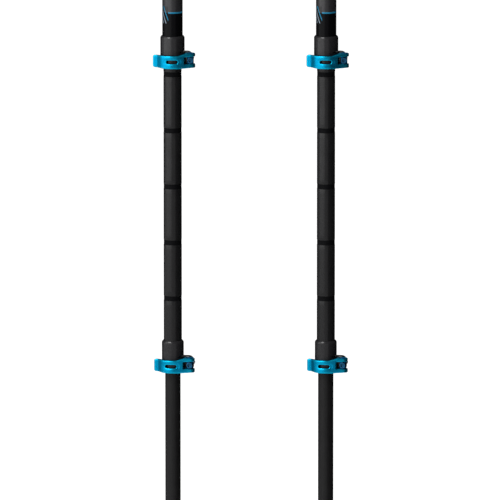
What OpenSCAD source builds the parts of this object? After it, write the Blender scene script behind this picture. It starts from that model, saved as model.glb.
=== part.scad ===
// A pair of three-section trekking poles with lever clamps.
// Both poles stand upright with their tips on the ground, the left one at -X.
// Each clamp's front faces -Y; the wrist loops hang outwards along X.

/* [Pole pair] */
// Distance between the two pole axes
pole_spacing = 135; // [125:1:200]
// Height of the upper clamp's lower face above the ground
upper_clamp_z = 640; // [620:1:660]
// Height of the lower clamp's lower face above the ground
lower_clamp_z = 368; // [355:1:380]
// Height of the handle's top above the ground
pole_height = 1200; // [1190:1:1260]

/* [Tubes] */
// Outer diameter of the upper tube
upper_tube_d = 18; // [17.6:0.1:19]
// Outer diameter of the middle tube
mid_tube_d = 16; // [15.6:0.1:16]
// Outer diameter of the lower tube
lower_tube_d = 13.6; // [12.8:0.1:14]
// Wall thickness of every tube
tube_wall = 0.9; // [0.7:0.05:0.95]
// Length of the middle tube
mid_tube_len = 520; // [500:1:530]
// Length of the lower tube
lower_tube_len = 480; // [460:1:490]
// Distance between two length marks on the middle tube
mark_pitch = 50; // [40:1:60]
// Height of one length mark
mark_h = 4.3; // [2:0.1:6]
// Depth of one length mark
mark_depth = 0.15; // [0.05:0.05:0.3]
// Distance from the upper clamp down to the centre of the first mark
first_mark = 5.5; // [4:0.5:8]
// Length marks that show below the upper clamp
marks_below = 5; // [1:1:5]
// Length marks that are still inside the upper tube
marks_above = 2; // [0:1:3]

/* [Clamps] */
// Height of a clamp's collar
collar_h = 29; // [28:0.5:34]
// Wall of the collar around the larger tube
collar_wall = 1.7; // [1.5:0.1:2.2]
// Height of the split part that closes on the smaller tube
clamp_h = 14.6; // [14.2:0.1:15]
// Width of the split between the two ears
split_w = 1.5; // [1:0.1:2]
// Angle of the lower clamp about its pole, against the upper one
lower_clamp_turn = -7; // [-15:1:15]
// Distance from the pole axis to the lever's pivot, to the right
pivot_x = 15.7; // [15.5:0.1:16.5]
// Distance from the pole axis to the lever's pivot, to the front
pivot_front = 5; // [4.8:0.1:5.2]
// Radius of the pivot barrel
barrel_r = 3; // [2.8:0.1:3.1]
// Radius of the tension screw's shank
screw_r = 1.75; // [1.5:0.05:1.8]
// Radius of the tension screw's head
screw_head_r = 2.7; // [2.4:0.1:2.8]
// Height of the tension screw above the collar's lower face
screw_z = 7.3; // [7.2:0.1:7.4]

/* [Levers] */
// Height of the lever's band
band_h = 11.5; // [10:0.5:12]
// Thickness of the lever's band
band_t = 2.7; // [2.2:0.1:3]
// Gap between the lever's band and the collar
band_gap = 0.5; // [0.4:0.1:0.8]
// Radius of the cam at the lever's pivot
cam_r = 4.4; // [4.2:0.1:4.5]
// How far the cam's centre lies behind the pivot
cam_offset = 0.4; // [0.2:0.1:0.5]
// How far the finger tab stands out past the collar
tab_reach = 6.7; // [5.5:0.1:8]
// Length of the slot in the lever's front
slot_len = 10.1; // [6:0.1:12]
// Height of the slot in the lever's front
slot_h = 3; // [2:0.1:3.5]
// Height of the window between the fork's two arms
window_h = 6.2; // [6:0.1:6.6]

/* [Handle] */
// Length of the moulded grip
grip_len = 124; // [118:1:130]
// Length of the foam sleeve below the grip
sleeve_len = 160; // [120:1:165]
// Radius of the foam sleeve
sleeve_r = 14; // [12:0.5:16]
// Width of the wrist strap
strap_w = 20; // [16:1:21]
// Thickness of the wrist strap's webbing
strap_t = 1.6; // [1:0.1:2]
// Width of the padded lining inside the wrist loop
pad_w = 26; // [20:1:30]
// Thickness of the padded lining
pad_t = 3; // [2:0.5:4]

/* [Tip and basket] */
// Radius of the basket
basket_r = 26; // [22:1:35]
// Windows through the basket's dish
basket_windows = 6; // [4:1:8]
// Radius of the tip's end that takes a rubber protector
tip_r = 5.5; // [5:0.1:5.8]
// Radius of the carbide point
point_r = 2.2; // [1.8:0.1:2.5]

/* [Hidden] */
$fn = 64;
SIDES = ["left", "right"];
CLAMP_PIECES = ["collar", "lever", "barrel", "tension_screw", "nut", "cam_pad"];
POLE_PIECES = concat(
    ["grip_cap", "grip", "grip_sleeve", "strap", "wrist_pad", "strap_pin", "strap_wedge",
     "upper_tube", "mid_tube", "mid_bush", "lower_tube", "lower_bush",
     "ferrule", "carbide_point", "basket"],
    [for (level = ["upper", "lower"]) for (piece = CLAMP_PIECES) str(level, "_", piece)]);

// Radii of the tubes
upper_r = upper_tube_d / 2;
mid_r = mid_tube_d / 2;
lower_r = lower_tube_d / 2;
// Radial gaps: glued joints, running fits and the guide bushes' sliding fit
glue_gap = 0.03;
run_gap = 0.08;
bush_gap = 0.05;
// A cut reaches this far past the face that it opens
over = 1;
// A cut that goes right through a clamp or a handle reaches this far from the pole's axis
far = 40;

// Wall of a guide bush's plug
bush_wall = 2.5;

// Clamp: the larger tube ends just above the split part
tube_end_z = clamp_h + 0.6;
slit_h = 0.8;
slit_x = 6;
shoulder_h = 2.9;
shoulder_lip = 0.4;
lever_z = 0.3;
ear_t = 3;
front_ear_y = 0.8;
ear_root_x = 4;
rear_ear_y = front_ear_y + ear_t + split_w;
rear_ear_t = 3.5;
ear_x = pivot_x + 2.5;
ear_corner = 5;
nut_r = 3.4;
nut_t = 2.4;
nut_gap = 0.05;
screw_gap = 0.25;
screw_past_nut = 0.6;
pad_plate_x = 11.4;
pad_plate_t = 0.9;
barrel_flat = 1.8;
head_t = 1.9;
socket_r = 1.45;
socket_depth = 1.2;
pivot_y = -pivot_front;
cam_y = pivot_y + cam_offset;

// Lever: rises and drops of its upper and lower edge, and where its band ends
tab_rise = 0.3;
fork_rise = 0.2;
fork_top = 13.2;
tab_outer_a = -143;
tab_inner_a = -152;
band_end_a = -28;
tab_r = 1.1;
tab_y = -3;
window_back = 5.3;
slot_x = -0.35;
slot_z = 6.4;
slot_end_y = -2;

// Handle
cap_h = 10;
cap_r = 18.4;
cap_plug_r = 8;
cap_plug_len = 6;
sleeve_gap = 2;
grip_z = pole_height - cap_h - grip_len;
sleeve_z = grip_z - sleeve_gap - sleeve_len;
upper_tube_top = pole_height - 34;
pin_z = pole_height - 27.5;
strap_bend_r = 2.9;
strap_pin_r = 2;
strap_pin_half = 13.5;
pocket_low = pole_height - 32.2;
pocket_high = pole_height - 19.8;
pocket_x = 4.5;

// Tip
ferrule_bottom = 8;
ferrule_top = 95;
socket_z = 60;
lower_tube_z = socket_z + 0.2;
point_len = 18;
flute_z = 70;
flute_pitch = 5;
basket_seat_low = 36.5;
basket_seat_high = 51;
basket_seat_r = 6.6;

function arc(c, r, a0, a1, n) =
    [for (i = [0:n]) let (a = a0 + (a1 - a0) * i / n) c + r * [cos(a), sin(a)]];

function bezier(a, b, c, d, n) =
    [for (i = [0:n]) let (t = i / n, s = 1 - t)
        s * s * s * a + 3 * s * s * t * b + 3 * s * t * t * c + t * t * t * d];

// A smooth open curve through points, with n steps from each to the next
function curve_point(a, b, c, d, t) =
    0.5 * (2 * b + (c - a) * t + (2 * a - 5 * b + 4 * c - d) * t * t
        + (3 * b - 3 * c + d - a) * t * t * t);
function smooth(p, n) =
    let (m = len(p) - 1)
    concat([for (i = [0:m - 1]) for (j = [0:n - 1])
        curve_point(p[max(i - 1, 0)], p[i], p[i + 1], p[min(i + 2, m)], j / n)], [p[m]]);

// A path moved sideways by d, to the left of its direction
function unit(v) = v / norm(v);
function side_step(p, i) =
    let (m = len(p) - 1, v = unit(p[min(i + 1, m)] - p[max(i - 1, 0)])) [-v[1], v[0]];
function shifted(p, d) = [for (i = [0:len(p) - 1]) p[i] + d * side_step(p, i)];
function reversed(p) = [for (i = [len(p) - 1:-1:0]) p[i]];

module along_y(length, y = 0) {
    translate([0, y + length / 2, 0]) rotate([90, 0, 0]) linear_extrude(length, center = true)
        children();
}

module tube(outer_r, length) {
    difference() {
        cylinder(r = outer_r, h = length);
        translate([0, 0, -over]) cylinder(r = outer_r - tube_wall, h = length + 2 * over);
    }
}

// ---- Tubes ----

module upper_tube() {
    bottom = upper_clamp_z + tube_end_z;
    color("#1b1b1d") translate([0, 0, bottom]) tube(upper_r, upper_tube_top - bottom);
}

module mid_tube() {
    bottom = lower_clamp_z + tube_end_z;
    color("#2e2e31") difference() {
        translate([0, 0, bottom]) tube(mid_r, mid_tube_len);
        for (k = [-marks_above:marks_below - 1])
            translate([0, 0, upper_clamp_z - first_mark - mark_pitch * k - mark_h / 2])
                difference() {
                    cylinder(r = mid_r + over, h = mark_h);
                    translate([0, 0, -over])
                        cylinder(r = mid_r - mark_depth, h = mark_h + 2 * over);
                }
    }
}

module lower_tube() {
    color("#242426") translate([0, 0, lower_tube_z]) tube(lower_r, lower_tube_len);
}

// A plug in a tube's upper end, whose flange slides in the next tube
module guide_bush(tube_r, next_bore_r, top_z) {
    flange_t = 2;
    plug_len = 12;
    hole_r = tube_r - tube_wall - bush_wall;
    color("#55565a") translate([0, 0, top_z]) difference() {
        union() {
            cylinder(r = next_bore_r - bush_gap, h = flange_t);
            translate([0, 0, -plug_len]) cylinder(r = tube_r - tube_wall - glue_gap, h = plug_len);
        }
        translate([0, 0, -plug_len - over]) cylinder(r = hole_r, h = plug_len + flange_t + 2 * over);
    }
}

module mid_bush() {
    guide_bush(mid_r, upper_r - tube_wall, lower_clamp_z + tube_end_z + mid_tube_len);
}

module lower_bush() {
    guide_bush(lower_r, mid_r - tube_wall, lower_tube_z + lower_tube_len);
}

// ---- Clamp: larger_r is the tube above, smaller_r the tube that it closes on ----

module ear_outline() {
    high = clamp_h - slit_h - 0.1;
    low = lever_z;
    square_x = ear_x - ear_corner;
    translate([ear_root_x, low]) square([square_x - ear_root_x, high - low]);
    translate([ear_root_x, low + ear_corner])
        square([ear_x - ear_root_x, high - low - 2 * ear_corner]);
    for (z = [low + ear_corner, high - ear_corner]) translate([square_x, z]) circle(r = ear_corner);
}

module collar(larger_r, smaller_r) {
    outer_r = larger_r + collar_wall;
    foot = 0.5;
    color("#29292b") difference() {
        union() {
            rotate_extrude() polygon([[0, 0], [outer_r - foot, 0], [outer_r, foot],
                [outer_r, collar_h - shoulder_h], [larger_r + shoulder_lip, collar_h], [0, collar_h]]);
            along_y(ear_t, front_ear_y) ear_outline();
            along_y(rear_ear_t, rear_ear_y) ear_outline();
        }
        translate([0, 0, -over]) cylinder(r = smaller_r + run_gap, h = collar_h);
        translate([0, 0, clamp_h + 0.4]) cylinder(r = larger_r + glue_gap, h = collar_h);
        translate([ear_root_x, front_ear_y + ear_t, -over]) cube([far, split_w, clamp_h + over]);
        translate([slit_x, -far, clamp_h - slit_h]) cube([far, 2 * far, slit_h]);
        translate([pivot_x, 0, screw_z]) {
            rotate([-90, 0, 0]) cylinder(r = screw_r + screw_gap, h = far);
            translate([0, rear_ear_y + rear_ear_t - nut_t, 0]) rotate([-90, 0, 0])
                cylinder(r = nut_r + nut_gap, h = far, $fn = 6);
        }
    }
}

// The lever seen from above: band, finger tab and the cam around the pivot
function lever_plan(inner_r) =
    let (outer_r = inner_r + band_t,
         o = [0, 0],
         cam = [pivot_x, cam_y],
         front_a = atan2(cam[1], cam[0]) - acos((outer_r - cam_r) / norm(cam)),
         back = inner_r * [cos(band_end_a), sin(band_end_a)] - cam,
         back_a = 360 + atan2(back[1], back[0]) - acos(cam_r / norm(back)),
         tip = [-(inner_r - band_gap + tab_reach) + tab_r, tab_y],
         outer_p = outer_r * [cos(tab_outer_a), sin(tab_outer_a)],
         outer_v = [sin(tab_outer_a), -cos(tab_outer_a)],
         inner_p = inner_r * [cos(tab_inner_a), sin(tab_inner_a)],
         inner_v = [sin(tab_inner_a), -cos(tab_inner_a)])
    concat(
        arc(o, outer_r, front_a, tab_outer_a, 20),
        bezier(outer_p, outer_p + 3.6 * outer_v, tip + [2.6, -tab_r - 0.3], tip + [0, -tab_r], 8),
        arc(tip, tab_r, 250, 110, 6),
        bezier(tip + [0, tab_r], tip + [2.6, tab_r], inner_p + 2.2 * inner_v, inner_p, 8),
        arc(o, inner_r, tab_inner_a, band_end_a, 20),
        arc(cam, cam_r, back_a, front_a, 20));

// The lever seen from the front: a shorter tab and a taller fork
function lever_front(inner_r) =
    [[-far, tab_rise], [-inner_r - 1.5, tab_rise], [-inner_r + 3, 0], [inner_r - 3, 0],
     [inner_r + 1.5, fork_rise], [far, fork_rise], [far, fork_top], [inner_r + 1, fork_top],
     [inner_r - 6, band_h], [-far, band_h]];

module lever(larger_r) {
    inner_r = larger_r + collar_wall + band_gap;
    window_x = pivot_x - window_back;
    color("#0a8ec4") difference() {
        intersection() {
            translate([0, 0, lever_z]) linear_extrude(fork_top) polygon(lever_plan(inner_r));
            translate([0, 0, lever_z]) along_y(2 * far, -far) polygon(lever_front(inner_r));
        }
        translate([window_x, -far, screw_z - window_h / 2]) cube([far, 2 * far, window_h]);
        translate([pivot_x, pivot_y, -over]) cylinder(r = barrel_r + run_gap, h = far);
        translate([slot_x, 0, slot_z]) along_y(far, slot_end_y - far) {
            square([slot_len - slot_h, slot_h], center = true);
            for (s = [-1, 1]) translate([s * (slot_len - slot_h) / 2, 0]) circle(d = slot_h);
        }
    }
}

module barrel() {
    low = lever_z + fork_rise + 0.1;
    high = lever_z + fork_top - 0.1;
    color("#0a4a70") difference() {
        translate([pivot_x, pivot_y, low]) cylinder(r = barrel_r, h = high - low);
        translate([pivot_x, -far, screw_z]) rotate([-90, 0, 0]) cylinder(r = screw_r + run_gap, h = 2 * far);
        translate([pivot_x - barrel_r - over, pivot_y - barrel_flat - barrel_r, screw_z - window_h / 2 + 0.1])
            cube([2 * (barrel_r + over), barrel_r, window_h - 0.2]);
    }
}

module tension_screw() {
    head_back = pivot_y - barrel_flat - 0.04;
    end_y = rear_ear_y + rear_ear_t + screw_past_nut;
    color("#1c4a60") translate([pivot_x, 0, screw_z]) difference() {
        union() {
            translate([0, head_back, 0]) rotate([-90, 0, 0])
                cylinder(r = screw_r, h = end_y - head_back);
            translate([0, head_back - head_t, 0]) rotate([-90, 0, 0])
                cylinder(r = screw_head_r, h = head_t);
        }
        translate([0, head_back - head_t - over, 0]) rotate([-90, 0, 0])
            cylinder(r = socket_r, h = socket_depth + over, $fn = 6);
    }
}

module nut() {
    color("#9a9ea3") translate([pivot_x, rear_ear_y + rear_ear_t - nut_t + 0.02, screw_z])
        rotate([-90, 0, 0]) difference() {
            cylinder(r = nut_r, h = nut_t, $fn = 6);
            translate([0, 0, -over]) cylinder(r = screw_r + nut_gap, h = nut_t + 2 * over);
        }
}

// A plate on the front ear, with the ear's own outline
module cam_pad() {
    color("#77797d") difference() {
        along_y(pad_plate_t, front_ear_y - pad_plate_t) intersection() {
            ear_outline();
            translate([pad_plate_x, 0]) square([far, clamp_h]);
        }
        translate([pivot_x, -far, screw_z]) rotate([-90, 0, 0])
            cylinder(r = screw_r + screw_gap, h = 2 * far);
    }
}

// ---- Handle, drawn for a pole whose wrist loop hangs towards -X ----

module lathe(profile, bore_r) {
    rotate_extrude() polygon(concat(profile,
        [[bore_r, profile[len(profile) - 1][1]], [bore_r, profile[0][1]]]));
}

module grip() {
    radii = [[16.5, 0], [16.6, 3], [14.7, 12], [16, 32], [17.2, 50], [15.8, 70],
             [14.4, 85], [16.4, 97], [19.2, 107], [20.4, 115], [19.6, 122], [cap_r, grip_len]];
    color("#222224") difference() {
        translate([0, 0, grip_z]) lathe(smooth(radii, 3), 0);
        cylinder(r = upper_r + glue_gap, h = upper_tube_top);
        translate([-far, -strap_w / 2 - over, pocket_low])
            cube([far + pocket_x, strap_w + 2 * over, pocket_high - pocket_low]);
        translate([0, -strap_pin_half - 0.1, pin_z]) rotate([-90, 0, 0])
            cylinder(r = strap_pin_r + glue_gap, h = 2 * strap_pin_half + 0.2);
        translate([0, 0, pole_height - cap_h - cap_plug_len - 0.2])
            cylinder(r = cap_plug_r + glue_gap, h = cap_plug_len + 2 * over);
    }
}

module grip_cap() {
    dome = [for (a = [0:15:90]) [cap_r * cos(a), 2 + (cap_h - 2) * sin(a)]];
    color("#141416") translate([0, 0, pole_height - cap_h]) {
        rotate_extrude() polygon(concat([[0, 0], [cap_r - 0.6, 0], [cap_r, 0.6]], dome));
        translate([0, 0, -cap_plug_len]) cylinder(r = cap_plug_r, h = cap_plug_len + over);
    }
}

module grip_sleeve() {
    rings = 7;
    ring_pitch = sleeve_len / (rings + 1);
    color("#2b2b2d") translate([0, 0, sleeve_z]) difference() {
        lathe([[sleeve_r - 1.5, 0], [sleeve_r, 3], [sleeve_r, sleeve_len - 2],
               [sleeve_r - 0.8, sleeve_len]], upper_r + glue_gap);
        for (k = [1:rings]) translate([0, 0, k * ring_pitch]) rotate_extrude()
            polygon([[sleeve_r - 0.9, -0.6], [sleeve_r + 1, -2.2], [sleeve_r + 1, 2.2],
                     [sleeve_r - 0.9, 0.6]]);
    }
}

// The wrist loop's middle line seen along Y, from its upper run to its lower run
loop_points = [[-12, 5.8], [-18, 5.6], [-24, 4.7], [-34, 0.5], [-46, -16], [-56, -46],
               [-60, -80], [-58, -112], [-49, -134], [-37, -140], [-27, -132], [-22.5, -108],
               [-21.5, -76], [-22.8, -40], [-23.8, -14], [-21.6, -4.5], [-17.5, -0.3], [-12, 0]];
loop_low_z = pin_z - strap_bend_r;
loop_curve = [for (p = smooth(loop_points, 4)) p + [0, loop_low_z]];
strap_path = concat([[0, pin_z + strap_bend_r]], loop_curve, arc([0, pin_z], strap_bend_r, -90, 80, 10));

module strap() {
    color("#1f1f22") along_y(strap_w, -strap_w / 2) difference() {
        polygon(shifted(strap_path, -strap_t / 2));
        polygon(shifted(strap_path, strap_t / 2));
    }
}

module wrist_pad() {
    lined = [for (i = [18:44]) loop_curve[i]];
    near = strap_t / 2 + 0.1;
    color("#3a3b3e") along_y(pad_w, -pad_w / 2)
        polygon(concat(shifted(lined, near), reversed(shifted(lined, near + pad_t))));
}

module strap_pin() {
    color("#a0a4a8") translate([0, -strap_pin_half, pin_z]) rotate([-90, 0, 0])
        cylinder(r = strap_pin_r, h = 2 * strap_pin_half);
}

module strap_wedge() {
    low = pin_z + strap_bend_r + strap_t / 2 + 0.2;
    high = pocket_high - 0.3;
    color("#0a8ec4") along_y(strap_w, -strap_w / 2)
        polygon([[-24, low + 1], [-24, high], [-5, high], [-4, high - 1], [-4, low], [-16, low]]);
}

// ---- Tip and basket ----

module ferrule() {
    neck_r = basket_seat_r;
    sleeve = lower_r + 1.1;
    flutes = 4;
    color("#1c1c1e") difference() {
        rotate_extrude() polygon([[0, ferrule_bottom], [3.4, ferrule_bottom], [tip_r, 13],
            [tip_r, 35], [neck_r, basket_seat_low], [neck_r, basket_seat_high],
            [neck_r + 1.8, basket_seat_high], [neck_r + 1.8, 54], [sleeve, 56],
            [sleeve, ferrule_top - 2], [sleeve - 0.6, ferrule_top], [0, ferrule_top]]);
        translate([0, 0, socket_z]) cylinder(r = lower_r + glue_gap, h = 60);
        cylinder(r = point_r + glue_gap, h = point_len + 0.1);
        for (k = [0:flutes - 1]) translate([0, 0, flute_z + flute_pitch * k]) rotate_extrude()
            polygon([[sleeve - 0.5, -0.6], [sleeve + 1, -1.4], [sleeve + 1, 1.4],
                     [sleeve - 0.5, 0.6]]);
    }
}

module carbide_point() {
    color("#8a8d90") rotate_extrude() polygon([[0, 1.1], [1, 0.8], [point_r - 0.6, 0],
        [point_r - 0.2, 0], [point_r, 0.6], [point_r, point_len], [0, point_len]]);
}

module basket() {
    hub_r = basket_seat_r + 2.3;
    spoke_half = 5;
    step = 360 / basket_windows;
    color("#19191b") difference() {
        rotate_extrude() polygon([[basket_seat_r + 0.05, basket_seat_low + 0.3],
            [hub_r, basket_seat_low + 0.3], [hub_r + 0.6, 41], [basket_r - 1.5, 44.5],
            [basket_r, 45.5], [basket_r, 47.5], [basket_r - 1.6, 47.5], [hub_r, 43.8],
            [hub_r - 0.4, basket_seat_high - 0.3], [basket_seat_r + 0.05, basket_seat_high - 0.3]]);
        for (k = [0:basket_windows - 1]) rotate([0, 0, step * k])
            linear_extrude(2 * far) polygon(concat(
                arc([0, 0], hub_r + 4, spoke_half + 4, step - spoke_half - 4, 4),
                arc([0, 0], basket_r - 4.5, step - spoke_half, spoke_half, 6)));
    }
}

// ---- The two poles ----

module clamp_piece(level) {
    clamp_z = level == "upper" ? upper_clamp_z : lower_clamp_z;
    turn = level == "upper" ? 0 : lower_clamp_turn;
    translate([0, 0, clamp_z]) rotate([0, 0, turn]) children();
}

module outward(side) {
    mirror([side == "right" ? 1 : 0, 0, 0]) children();
}

for (side = SIDES) translate([side == "left" ? -pole_spacing / 2 : pole_spacing / 2, 0, 0]) {
    grip_cap();
    outward(side) grip();
    grip_sleeve();
    outward(side) strap();
    outward(side) wrist_pad();
    strap_pin();
    outward(side) strap_wedge();
    upper_tube();
    mid_tube();
    mid_bush();
    lower_tube();
    lower_bush();
    ferrule();
    carbide_point();
    basket();
    for (level = ["upper", "lower"]) clamp_piece(level) {
        larger_r = level == "upper" ? upper_r : mid_r;
        smaller_r = level == "upper" ? mid_r : lower_r;
        piece = str(side, "_", level);
        collar(larger_r, smaller_r);
        lever(larger_r);
        barrel();
        tension_screw();
        nut();
        cam_pad();
    }
}
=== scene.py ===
"""Looks of the trekking pole pair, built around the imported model.

Lengths inside the builders are millimetres. x and y are measured from the pole's own axis, and z from the
height of the tips at rest. Every mesh is made once, for the left pole, and placed at both poles' axes.
"""
import functools
import math

import bpy
import numpy as np
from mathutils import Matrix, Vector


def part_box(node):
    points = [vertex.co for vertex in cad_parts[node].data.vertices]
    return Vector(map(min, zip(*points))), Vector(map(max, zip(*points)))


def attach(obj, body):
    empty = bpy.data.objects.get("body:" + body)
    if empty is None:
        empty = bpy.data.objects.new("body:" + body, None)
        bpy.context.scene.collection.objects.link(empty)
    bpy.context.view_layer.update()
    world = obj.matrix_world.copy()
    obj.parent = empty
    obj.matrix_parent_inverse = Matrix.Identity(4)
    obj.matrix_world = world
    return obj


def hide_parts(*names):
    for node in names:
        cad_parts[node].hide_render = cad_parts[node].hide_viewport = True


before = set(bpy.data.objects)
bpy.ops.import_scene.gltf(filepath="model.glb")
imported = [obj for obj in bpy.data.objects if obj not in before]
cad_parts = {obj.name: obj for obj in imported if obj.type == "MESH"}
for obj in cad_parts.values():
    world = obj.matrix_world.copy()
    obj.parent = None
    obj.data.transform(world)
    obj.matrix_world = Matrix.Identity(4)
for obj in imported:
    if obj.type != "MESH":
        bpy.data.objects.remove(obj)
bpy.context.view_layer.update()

import openvdb as vdb
from mathutils import Vector

MM = 0.001
SIDES = ("left", "right")
LEVELS = ("upper", "lower")

# ---- Places, all read from the frame ----


def box_mm(node):
    low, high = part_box(node)
    return np.array(low) / MM, np.array(high) / MM


def middle(node):
    low, high = box_mm(node)
    return (low + high) / 2


AXIS_X = {side: middle(f"{side}_upper_tube")[0] for side in SIDES}
CLAMP_Z = {level: box_mm(f"left_{level}_collar")[0][2] for level in LEVELS}
CLAMP_TURN = {"upper": 0.0, "lower": math.radians(-7)}
TUBE_R = {name: box_mm(f"left_{name}_tube")[1][0] - AXIS_X["left"] for name in ("upper", "mid", "lower")}
# Gap between a tube and what is glued on it
GLUE_GAP = 0.03
POLE_TOP = box_mm("left_grip_cap")[1][2]
GRIP_LOW = box_mm("left_grip")[0][2]
PIN_Z = middle("left_strap_pin")[2]

# ---- Meshes ----


def make_mesh(name, points, quads):
    """A mesh from points in millimetres and four-cornered faces."""
    points = np.asarray(points, np.float32) * MM
    quads = np.asarray(quads, np.int32)
    mesh = bpy.data.meshes.new(name)
    mesh.vertices.add(len(points))
    mesh.vertices.foreach_set("co", points.ravel())
    mesh.loops.add(quads.size)
    mesh.loops.foreach_set("vertex_index", quads.ravel())
    mesh.polygons.add(len(quads))
    mesh.polygons.foreach_set("loop_start", np.arange(0, quads.size, 4, dtype=np.int32))
    mesh.update(calc_edges=True)
    mesh.polygons.foreach_set("use_smooth", np.ones(len(quads), bool))
    mesh.validate()
    return mesh


def add_attribute(mesh, name, values):
    attribute = mesh.attributes.new(name, "FLOAT", "POINT")
    attribute.data.foreach_set("value", np.asarray(values, np.float32))


def ring_grid(rings):
    """Quads over closed rings of equal length, where the last ring joins the first one again."""
    count, around = rings.shape[:2]
    i, j = np.meshgrid(np.arange(count), np.arange(around), indexing="ij")
    i2, j2 = (i + 1) % count, (j + 1) % around
    quads = np.stack([i * around + j, i * around + j2, i2 * around + j2, i2 * around + j], -1)
    return rings.reshape(-1, 3), quads.reshape(-1, 4)


def outward_faces(points, quads):
    """The same faces, turned so that they face out of the solid that they close."""
    a, b, c, d = (points[quads[:, k]] for k in range(4))
    volume = np.einsum("ij,ij->", a, np.cross(b, c)) + np.einsum("ij,ij->", a, np.cross(c, d))
    return quads if volume > 0 else quads[:, ::-1]


def mirrored(mesh):
    """A copy of a mesh, mirrored in X."""
    copy = mesh.copy()
    co = np.empty(len(copy.vertices) * 3, np.float32)
    copy.vertices.foreach_get("co", co)
    co[0::3] *= -1
    copy.vertices.foreach_set("co", co)
    copy.flip_normals()
    copy.update()
    return copy


def rounded(corners, step=1.0, arc_steps=5):
    """An outline of (r, z, fillet) corners, with round corners and no step longer than step."""
    outline = []
    count = len(corners)
    for k, (r, z, fillet) in enumerate(corners):
        here = np.array([r, z], float)
        before = np.array(corners[k - 1][:2], float) - here
        after = np.array(corners[(k + 1) % count][:2], float) - here
        if fillet == 0:
            outline.append(here)
            continue
        reach = min(fillet, 0.45 * np.linalg.norm(before), 0.45 * np.linalg.norm(after))
        start = here + before / np.linalg.norm(before) * reach
        end = here + after / np.linalg.norm(after) * reach
        for t in np.linspace(0, 1, arc_steps):
            outline.append((1 - t) ** 2 * start + 2 * t * (1 - t) * here + t * t * end)
    dense = []
    for p, q in zip(outline, outline[1:] + outline[:1]):
        pieces = max(1, math.ceil(np.linalg.norm(q - p) / step))
        dense += [p + (q - p) * n / pieces for n in range(pieces)]
    return np.array(dense)


def capped_mesh(name, grids):
    """Tubes of rings with a flat face over each end, as one mesh. Each grid is rings by points by 3."""
    points, faces = [], []
    for rings in grids:
        around, base = rings.shape[1], sum(len(p) for p in points)
        places, quads = ring_grid(rings)
        quads = quads[:-around]
        caps = [list(range(around))[::-1], list(range((len(rings) - 1) * around, len(rings) * around))]
        middle_ring = rings[len(rings) // 2]
        spine = rings[-1].mean(0) - rings[0].mean(0)
        turn = np.cross(middle_ring[0] - middle_ring.mean(0), middle_ring[1] - middle_ring.mean(0)) @ spine
        ring_faces = [list(face) for face in quads] + caps
        if turn < 0:
            ring_faces = [face[::-1] for face in ring_faces]
        points.append(places)
        faces += [[base + k for k in face] for face in ring_faces]
    mesh = bpy.data.meshes.new(name)
    mesh.from_pydata(np.vstack(points) * MM, [], faces)
    mesh.polygons.foreach_set("use_smooth", np.ones(len(mesh.polygons), bool))
    mesh.validate()
    return mesh


def lathe(name, outline, around=96, closed=True):
    """An outline of (r, z) turned about the pole's axis. An open one starts and ends close to the axis."""
    angle = np.linspace(0, 2 * math.pi, around, endpoint=False)
    rings = np.stack([outline[:, None, 0] * np.cos(angle), outline[:, None, 0] * np.sin(angle),
                      np.repeat(outline[:, 1, None], around, 1)], -1)
    if not closed:
        return capped_mesh(name, [rings])
    points, quads = ring_grid(rings)
    return make_mesh(name, points, outward_faces(points, quads))


# ---- Solids as distance fields: a CAD node's own shape, with its edges rounded and detail cut into it ----


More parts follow.
